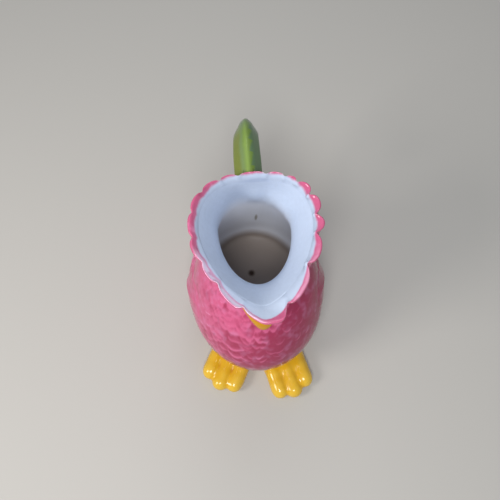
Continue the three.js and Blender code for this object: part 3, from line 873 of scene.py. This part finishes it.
def knuckles(obj, heel, turn):
    places = points_of(obj)
    along = along_foot(places, heel, turn)
    wave = KNUCKLE_HIGH * np.cos(2 * math.pi * along / KNUCKLE)
    rise = wave * smoothstep(*KNUCKLE_FROM, places[:, 2])
    fuller = FULLER * smoothstep(*FULLER_FROM, places[:, 2])
    move_points(obj, places + normals_of(obj) * (rise + fuller)[:, None])


def new_yellow(name, coat, colours):
    material, tree, shader = new_glaze(name, YELLOW_RIPPLE, coat)
    shader.inputs["Coat Roughness"].default_value = YELLOW_COAT_ROUGHNESS
    yellow = pool_of(tree, attribute_of(tree, "relief"), **colours)
    tree.links.new(yellow["Color"], shader.inputs["Base Color"])
    tree.links.new(yellow["Roughness"], shader.inputs["Roughness"])
    return material


foot_glaze = new_yellow("yellow_foot_glaze", FOOT_COAT, YELLOW)
beak_glaze = new_yellow("yellow_beak_glaze", BEAK_COAT, SHADED_BEAK_YELLOW)

for node in ("upper_beak", "lower_beak", "left_foot", "right_foot"):
    obj = softened(node, "soft_" + node, PRESSED_VOXEL, FOOT_ROUNDS if node in HEELS else BEAK_ROUNDS)
    if node in HEELS:
        fill_grooves(obj, *HEELS[node])
        knuckles(obj, *HEELS[node])
    keep(obj, "relief", glaze_height(obj, **PRESSED_RELIEF))
    bed(obj, **PRESSED_BED)
    paint(obj, foot_glaze if node in HEELS else beak_glaze)
    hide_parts(node)
    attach(obj, "root")
    print(obj.name, len(obj.data.polygons), "faces")

# %% [markdown]
# Each eye is a domed black pupil inside a cream ring, painted before the glaze. The pupil's edge is
# the brush's, so it wavers, and the ring is browner where the glaze lies thick against it.

# %% Eyes
CREAM = dict(pooled=(168, 120, 84), full=(232, 214, 184), thin=(240, 228, 206))
PUPIL_BLACK, PUPIL_EDGE, PUPIL_WAVER, PUPIL_WAVER_SCALE = srgb(24, 20, 20), (4.2, 4.7), 0.8, 500.0
EYE_ASIDE, EYE_AHEAD = 0.86, -0.51
EYE_RELIEF = dict(rounds=60, middle=0.6, strength=0.5, low=-1, high=1)
EYE_BED = dict(close=1.2, depth=0.9)

eye_glaze, tree, shader = new_glaze("eye_glaze")
wavering = noise_on(tree, object_place(tree), PUPIL_WAVER_SCALE)
reach = math_node(tree, "MULTIPLY_ADD", wavering, PUPIL_WAVER, attribute_of(tree, "from_middle"))
cream = pool_of(tree, attribute_of(tree, "relief"), **CREAM)
ring = ramp_between(tree, reach, *PUPIL_EDGE)
tree.links.new(mix_colours(tree, ring, PUPIL_BLACK, cream["Color"]), shader.inputs["Base Color"])
tree.links.new(cream["Roughness"], shader.inputs["Roughness"])
for node in ("left_eye", "right_eye"):
    obj = copy_of(node, "glazed_" + node)
    finish_modifier(obj, "SUBSURF", levels=3, render_levels=3)
    places = points_of(obj)
    middle = (places.min(axis=0) + places.max(axis=0)) / 2
    outward = np.array([math.copysign(EYE_ASIDE, middle[0]), EYE_AHEAD, 0.0])
    spread = places - middle
    keep(obj, "from_middle", np.linalg.norm(spread - np.outer(spread @ outward, outward), axis=1))
    keep(obj, "relief", glaze_height(obj, **EYE_RELIEF))
    smooth_faces(obj)
    bed(obj, **EYE_BED)
    paint(obj, eye_glaze)
    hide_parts(node)
    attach(obj, "root")
    print(obj.name, len(obj.data.polygons), "faces")

# %% [markdown]
# ## Wings
# A wing has a shoulder pad, feathered like the body, and five long flight feathers, each with a quill
# down its middle and barbs slanting off it. Places on the flank are an angle round from the front and
# a height, and the wall's reach at that height turns a point into them. Between the lowest and the
# highest feather a point's share of the way tells which feather it is on and how far from its quill.
# The border is eased into the wall: the height over the wall is bent so that it starts level, as slip
# smoothed with a finger.

# %% Relief of a wing
WALL_SIDE = (49, 61, 67.2, 54, 35.5, 50.5)
WALL_FRONT = (60, 86, 103, 84, 48, 77)
WALL_BACK = (58, 64, 58, 47, 40, 39)
WALL_MIDDLE = (0, -6, -20, -15, 6, -7)
PAD, PAD_HALF, PAD_EDGE = ((69, 98), (108, 58)), 19, (1.08, 0.92)
LOWEST = ((83, 58), (152, 27))
HIGHEST = ((87, 92), (148, 78))
MM_PER_DEGREE = 1.17
FLIGHTS, FLIGHT_FROM, FLIGHT_SPAN = 5, 85, 65
QUILL, QUILL_WIDE = 0.35, 0.09
BARB, BARBS, BARB_SLANT = 0.16, 20, 2.6


def on_flank(places):
    tables = (WALL_SIDE, WALL_FRONT, WALL_BACK, WALL_MIDDLE)
    side, front, back, middle = (np.interp(places[:, 2], HEIGHTS, table) for table in tables)
    ahead = middle - places[:, 1]
    depth = np.where(ahead > 0, front + middle, back - middle)
    return np.degrees(np.arctan2(np.abs(places[:, 0]) / side, ahead / depth))


def height_on(line, angle):
    (from_angle, from_z), (to_angle, to_z) = line
    return from_z + (angle - from_angle) * (to_z - from_z) / (to_angle - from_angle)


def pad_share(angle, z):
    start, end = np.array(PAD[0]), np.array(PAD[1])
    way = (end - start) * (MM_PER_DEGREE, 1)
    length = np.linalg.norm(way)
    spot = np.stack([(angle - start[0]) * MM_PER_DEGREE, z - start[1]], 1)
    along = spot @ way / length
    across = spot @ np.array([-way[1], way[0]]) / length
    return smoothstep(*PAD_EDGE, np.hypot((along - length / 2) / (length / 2), across / PAD_HALF))


def flight_relief(angle, z):
    low, high = height_on(LOWEST, angle), height_on(HIGHEST, angle)
    feather = (FLIGHTS - 1) * (z - low) / (high - low)
    across = feather - np.round(feather)
    along = (angle - FLIGHT_FROM) / FLIGHT_SPAN
    barbs = np.cos(2 * math.pi * (BARBS * along - BARB_SLANT * np.abs(across)))
    return QUILL * np.exp(-(across / QUILL_WIDE) ** 2) + BARB * barbs


# %% [markdown]
# Each wing is bedded with its back and remeshed, so that it becomes an even skin that reaches into the
# wall. The pad then gets the body's feathers, pressed more lightly, and the fan its quills and barbs.

# %% Wings
WING_VOXEL, WING_ROUNDS = 0.8, 10
EASE, STEEPER, SUNK = 2.0, 1.7, 0.1
WING_PRESS, WING_MARK, WING_TIP, FAN_FROM = 0.45, 0.5, 0.7, (0.8, 1.8)
WING_RELIEF = dict(rounds=25, middle=0.5, strength=0.5, low=-0.9, high=0.9)
WING_BED = dict(close=0.9, depth=2.6, only_back=True)

for node in ("left_wing", "right_wing"):
    obj = copy_of(node, "feathered_" + node)
    finish_modifier(obj, "SUBSURF", levels=2, render_levels=2, subdivision_type="SIMPLE")
    bed(obj, **WING_BED)
    soften(obj, WING_VOXEL, WING_ROUNDS)
    gap, facing = clear_of_wall(obj)
    risen = STEEPER * (gap - EASE * (1 - np.exp(-gap / EASE)))
    places = points_of(obj) + facing * (np.where(gap > 0, risen - gap, 0) - SUNK)[:, None]
    angle = on_flank(places)
    pad = pad_share(angle, places[:, 2])
    feathers, brim = feathers_at(obj, places)
    scales = WING_PRESS * press_of(places) * (feathers - MEAN_FEATHER)
    fan = (1 - pad) * smoothstep(*FAN_FROM, gap)
    detail = (1 - fan) * scales + fan * (flight_relief(angle, places[:, 2]) - QUILL)
    move_points(obj, places + normals_of(obj) * detail[:, None])
    heights = glaze_height(obj, **WING_RELIEF)
    marks = WING_MARK * (feathers - EVEN_GLAZE) + WING_TIP * BRIGHT_TIP * brim
    # The wing's marks get the same painted shade towards the bird's left and low on the front as the
    # body.
    marked = EVEN_GLAZE + left_by_sponge(places) * marks - painted_side_shade(places)
    keep(obj, "relief", (1 - fan) * marked + fan * heights)
    for name in ("lining", "bare_base"):
        keep(obj, name, np.zeros(len(places)))
    paint(obj, body_glaze)
    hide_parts(node)
    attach(obj, "root")
    print(obj.name, len(obj.data.polygons), "faces")

# %% [markdown]
# ## Handle
# Three tail feathers lie side by side and bend into a loop. Seen from above, the left one is olive,
# the middle one light green and the right one dark, and the dark one's border steps in and out like
# the teeth of a saw. Two attributes are enough to paint that: the place across the handle, and the
# way along it, taken as an angle round the middle of the loop. Rounding wears the keel down, so it is
# drawn out again. The sides are drawn towards the middle of the loop, which makes the back of the
# handle rounder. Where it leaves the neck the handle leans a little to the bird's right, and its tip
# to the left, as on the jug.

# %% Handle
LOOP_Y, LOOP_Z, LOOP_RADIUS = 62.0, 138.0, 46.0
HANDLE_VOXEL, HANDLE_ROUNDS = 0.6, 18
ROOT_HALF, TIP_HALF, WIDTH_TURNS = 12.6, 11.4, (1.5, 2.5)
KEEL, KEEL_WIDE, KEEL_FACES, SIDES_IN = 0.6, 2.6, (0.2, 0.7), 3.0
LEAN, LEAN_TURNS, TIP_LEAN, TIP_LEAN_TURNS = 1.5, (2.7, 1.4), 1.2, (1.9, 2.8)
HANDLE_RELIEF = dict(rounds=50, middle=0.55, strength=0.5, low=-0.9, high=0.9)
HANDLE_BED = dict(close=1.8, depth=1.4)

handle = softened("tail_handle", "feather_handle", HANDLE_VOXEL, HANDLE_ROUNDS)
places = points_of(handle)
turn = np.arctan2(places[:, 2] - LOOP_Z, LOOP_Y - places[:, 1]) % (2 * math.pi)
places[:, 0] *= np.interp(turn, WIDTH_TURNS, (ROOT_HALF, TIP_HALF)) / places[:, 0].max()
away = np.stack([np.zeros(len(turn)), -np.cos(turn), np.sin(turn)], 1)
outside = smoothstep(*KEEL_FACES, (normals_of(handle) * away).sum(axis=1))
share = np.abs(places[:, 0]) / TIP_HALF
rise = KEEL * outside * np.exp(-(places[:, 0] / KEEL_WIDE) ** 2) - SIDES_IN * np.minimum(share, 1) ** 2
places += away * rise[:, None]
keep(handle, "across", places[:, 0])
keep(handle, "along", LOOP_RADIUS * turn)
places[:, 0] += TIP_LEAN * smoothstep(*TIP_LEAN_TURNS, turn) - LEAN * smoothstep(*LEAN_TURNS, turn)
move_points(handle, places)
keep(handle, "relief", glaze_height(handle, **HANDLE_RELIEF))
bed(handle, **HANDLE_BED)
print("handle:", len(handle.data.polygons), "faces")

# %% [markdown]
# The border of the dark feather is moved by the fraction of the way along each tooth, which makes the
# saw. Noise loosens all the borders, since a brush drew them.

# %% Handle glaze
LIGHT = dict(pooled=(96, 120, 52), full=(118, 145, 62), thin=(130, 154, 80))
OLIVE = dict(pooled=(98, 108, 46), full=(118, 129, 60), thin=(128, 138, 78))
DARK = dict(pooled=(78, 104, 66), full=(98, 124, 90), thin=(112, 138, 104))
SAGE, TIP_GREY = srgb(118, 138, 88), srgb(122, 143, 130)
HANDLE_COAT = 0.15
TOOTH, TOOTH_DEEP = 10.0, 3.2
DRIFT, DRIFT_SCALE, DRIFT_DETAIL = 2.4, 100.0, 1.0
SAGE_EDGE, OLIVE_EDGE, DARK_EDGE = (-0.6, -4.4), (-4.2, -7.4), (0.6, 3.2)
TIP_COMING, TIP_GOING, TIP_SHARE = (84.0, 114.0), (190.0, 150.0), 0.7

handle_glaze, tree, shader = new_glaze("green_glaze", coat=HANDLE_COAT)
place = object_place(tree)
across, along = attribute_of(tree, "across"), attribute_of(tree, "along")
drift = noise_about(tree, place, 0.0, DRIFT, DRIFT_SCALE, DRIFT_DETAIL)
loose = math_node(tree, "ADD", across, drift)
tooth = math_node(tree, "FRACT", math_node(tree, "DIVIDE", along, TOOTH))
border = math_node(tree, "MULTIPLY_ADD", tooth, -TOOTH_DEEP, loose)
height = attribute_of(tree, "relief")
light, olive, dark = (pool_of(tree, height, **colours) for colours in (LIGHT, OLIVE, DARK))
colour = mix_colours(tree, ramp_between(tree, loose, *SAGE_EDGE), light["Color"], SAGE)
colour = mix_colours(tree, ramp_between(tree, loose, *OLIVE_EDGE), colour, olive["Color"])
colour = mix_colours(tree, ramp_between(tree, border, *DARK_EDGE), colour, dark["Color"])
coming, going = ramp_between(tree, along, *TIP_COMING), ramp_between(tree, along, *TIP_GOING)
near_tip = math_node(tree, "MULTIPLY", math_node(tree, "MULTIPLY", coming, going), TIP_SHARE)
colour = mix_colours(tree, near_tip, colour, TIP_GREY)
tree.links.new(colour, shader.inputs["Base Color"])
tree.links.new(light["Roughness"], shader.inputs["Roughness"])
paint(handle, handle_glaze)
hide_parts("tail_handle")
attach(handle, "root")
print(handle_glaze.name, len(tree.nodes), "nodes")

# %% [markdown]
# ## Floor, light and camera
# A plain pale floor, a soft lamp from the left as a window gives, a larger one from above the camera
# that looks into the mouth, a weak one behind, and an even light from all round. The camera looks
# steeply down on the bird from the front.

# %% Floor
FLOOR_SIZE, FLOOR_GREY, FLOOR_ROUGHNESS = 6, srgb(186, 182, 176), 0.7

bpy.ops.object.select_all(action="DESELECT")
bpy.ops.mesh.primitive_plane_add(size=FLOOR_SIZE, location=(0, 0, 0))
floor = bpy.context.object
floor.name = "floor"
floor_paint = bpy.data.materials.new("pale_floor")
floor_paint.use_nodes = True
shader = floor_paint.node_tree.nodes["Principled BSDF"]
shader.inputs["Base Color"].default_value = FLOOR_GREY
shader.inputs["Roughness"].default_value = FLOOR_ROUGHNESS
floor.data.materials.append(floor_paint)
print(floor.name, FLOOR_SIZE, "m wide")

# %% Light
AIMED_AT = (0, 0, 0.1)
LAMPS = (
    ("window", (-0.85, -0.3, 0.75), 0.4, 5.5, (1.0, 0.97, 0.93)),
    ("sky", (-0.15, -0.6, 1.2), 0.5, 10.0, (0.97, 0.99, 1.0)),
    ("behind", (0.1, 0.7, 1.1), 0.6, 2.2, (0.92, 0.96, 1.0)),
)
EVEN_BLUE, EVEN_STRENGTH = (0.86, 0.92, 1.0, 1.0), 0.28


def add_lamp(name, place, size, watts, colour):
    lamp = bpy.data.lights.new(name, "AREA")
    lamp.shape = "DISK"
    lamp.size = size
    lamp.energy = watts
    lamp.color = colour
    obj = bpy.data.objects.new(name, lamp)
    bpy.context.scene.collection.objects.link(obj)
    obj.location = place
    aim = np.array(AIMED_AT) - np.array(place)
    flat = math.hypot(aim[0], aim[1])
    obj.rotation_euler = (math.atan2(flat, -aim[2]), 0, math.atan2(-aim[0], aim[1]))


for lamp in LAMPS:
    add_lamp(*lamp)
world = bpy.data.worlds.new("even_light")
bpy.context.scene.world = world
world.use_nodes = True
background = world.node_tree.nodes["Background"]
background.inputs["Color"].default_value = EVEN_BLUE
background.inputs["Strength"].default_value = EVEN_STRENGTH
print("lamps:", [lamp[0] for lamp in LAMPS])

# %% Camera
TURN, TILT = math.radians(5.0), math.radians(20)
CAMERA_X, CAMERA_Y, CAMERA_Z = -4.3, -177.4, 604.1
LENS, SENSOR = 40.32, 36

camera = bpy.data.cameras.new("camera")
camera.lens = LENS
camera.sensor_width = SENSOR
camera_object = bpy.data.objects.new("camera", camera)
bpy.context.scene.collection.objects.link(camera_object)
camera_object.location = (
    (CAMERA_X * math.cos(TURN) + CAMERA_Y * math.sin(TURN)) * MM,
    (CAMERA_Y * math.cos(TURN) - CAMERA_X * math.sin(TURN)) * MM,
    CAMERA_Z * MM,
)
camera_object.rotation_euler = (TILT, 0, -TURN)
bpy.context.scene.camera = camera_object
bpy.context.scene.view_settings.view_transform = "Standard"
print("camera at", [round(v, 3) for v in camera_object.location])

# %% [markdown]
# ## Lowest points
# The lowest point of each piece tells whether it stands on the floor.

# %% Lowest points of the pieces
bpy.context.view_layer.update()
for obj in bpy.context.scene.objects:
    if obj.type == "MESH":
        print(obj.name, "lowest", round(min(v.co.z for v in obj.data.vertices) / MM, 3))
